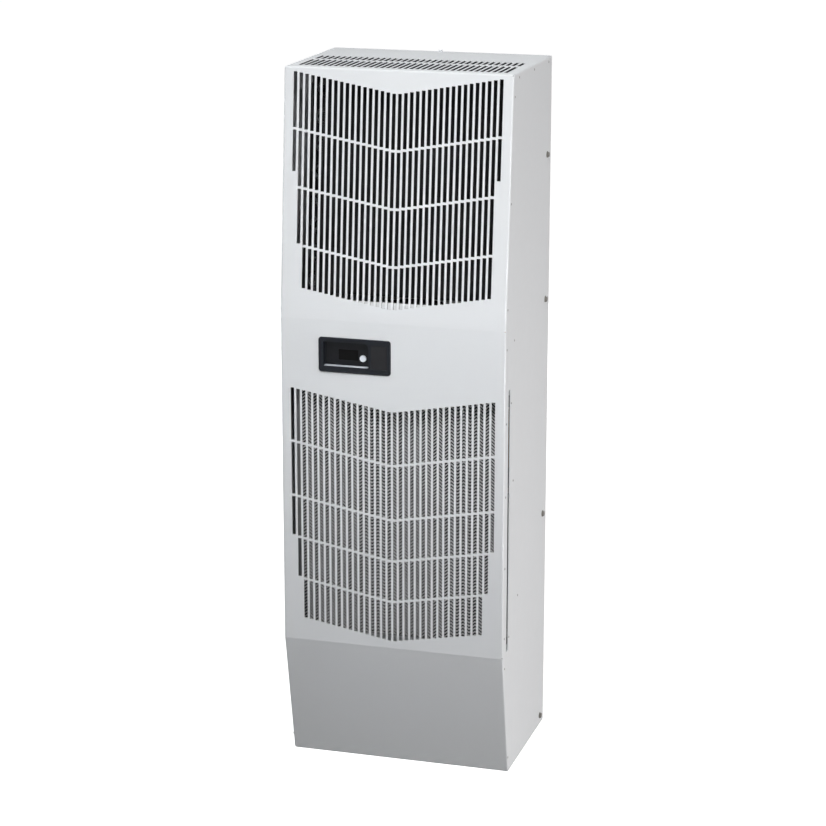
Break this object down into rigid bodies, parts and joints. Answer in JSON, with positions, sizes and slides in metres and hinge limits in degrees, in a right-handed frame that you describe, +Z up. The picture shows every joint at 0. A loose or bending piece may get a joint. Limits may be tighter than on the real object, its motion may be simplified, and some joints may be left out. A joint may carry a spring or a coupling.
{
  "type": "enclosure air conditioner",
  "caption": "Tall side-mount enclosure air conditioner with a folded sheet casing, chevron-slotted grilles, a small recessed controller and a slide-out air filter.",
  "frame": {"origin": "centre of the bounding box's footprint, on the base", "axes": "+Z up, +Y towards the wall that the back is bolted to, +X to the right seen from the front"},
  "size_m": [0.427, 0.3306, 1.32],
  "materials": {
    "casing_paint": "light grey textured powder coat",
    "inner_sheet": "galvanised sheet",
    "seal_foam": "black closed-cell foam",
    "insulation_foam": "dark foam sheet",
    "coil_aluminium": "dark coated fins",
    "copper": "bare copper",
    "drain_hose": "flexible hose",
    "motor_black": "satin black",
    "fan_plastic": "black moulded plastic",
    "compressor_black": "gloss black",
    "pad_rubber": "black rubber",
    "device_plastic": "moulded plastic",
    "bezel_plastic": "satin black plastic",
    "display_glass": "dark clear window",
    "button_white": "white plastic",
    "board_green": "coated circuit board",
    "filter_aluminium": "bare expanded metal"
  },
  "bodies": {
    "casing": {"accumulator": "compressor_black", "air_divider": "inner_sheet", "base_panel": "casing_paint", "base_tray": "inner_sheet", "capillary_tube": "copper", "compressor_base": "compressor_black", "compressor_pads": "pad_rubber", "compressor_shell": "compressor_black", "compressor_terminal_cover": "device_plastic", "condensate_pan": "inner_sheet", "condenser_end_plates": "inner_sheet", "condenser_fan_bracket": "inner_sheet", "condenser_fan_motor": "motor_black", "condenser_fins": "coil_aluminium", "condenser_headers": "copper", "contactor": "device_plastic", "controller_bezel": "bezel_plastic", "controller_board": "board_green", "controller_housing": "bezel_plastic", "discharge_pipe": "copper", "display_window": "display_glass", "divider_insulation": "insulation_foam", "drain_tube": "drain_hose", "duct_floor": "inner_sheet", "electrical_box": "inner_sheet", "electrical_lid": "inner_sheet", "evaporator_end_plates": "inner_sheet", "evaporator_fan_motor": "motor_black", "evaporator_fins": "coil_aluminium", "evaporator_headers": "copper", "evaporator_inlet_plate": "inner_sheet", "evaporator_motor_plate": "inner_sheet", "filter_drier": "copper", "filter_lower_rail": "inner_sheet", "filter_upper_rail": "inner_sheet", "left_side_panel": "casing_paint", "liquid_pipe": "copper", "lower_apron": "casing_paint", "lower_grille_panel": "casing_paint", "mid_shelf": "inner_sheet", "plenum_cover": "insulation_foam", "rear_panel": "inner_sheet", "rear_posts": "inner_sheet", "right_side_panel": "casing_paint", "run_capacitor": "device_plastic", "suction_pipe": "copper", "suction_stub": "copper", "terminal_block": "device_plastic", "top_grille_panel": "casing_paint", "upper_grille_panel": "casing_paint", "wall_seal": "seal_foam"},
    "filter": {"filter_frame": "filter_aluminium", "filter_mesh": "filter_aluminium"},
    "condenser_fan": {"condenser_fan_blades": "fan_plastic"},
    "evaporator_fan": {"evaporator_wheel": "fan_plastic"},
    "button": {"display_button": "button_white"}
  },
  "joints": [
    {"name": "filter_slide", "type": "slide", "parent": "casing", "child": "filter", "axis": [1, 0, 0], "range_m": [0, 0.385]},
    {"name": "condenser_fan_spin", "type": "hinge", "parent": "casing", "child": "condenser_fan", "pos_m": [0, -0.03875, 0.868], "axis": [0, 0, 1], "continuous": true},
    {"name": "evaporator_fan_spin", "type": "hinge", "parent": "casing", "child": "evaporator_fan", "pos_m": [0, 0.12125, 1.13], "axis": [0, 1, 0], "continuous": true},
    {"name": "button_press", "type": "slide", "parent": "casing", "child": "button", "axis": [0, 1, 0], "range_m": [0, 0.0015], "stiffness_N_per_m": 800}
  ]
}
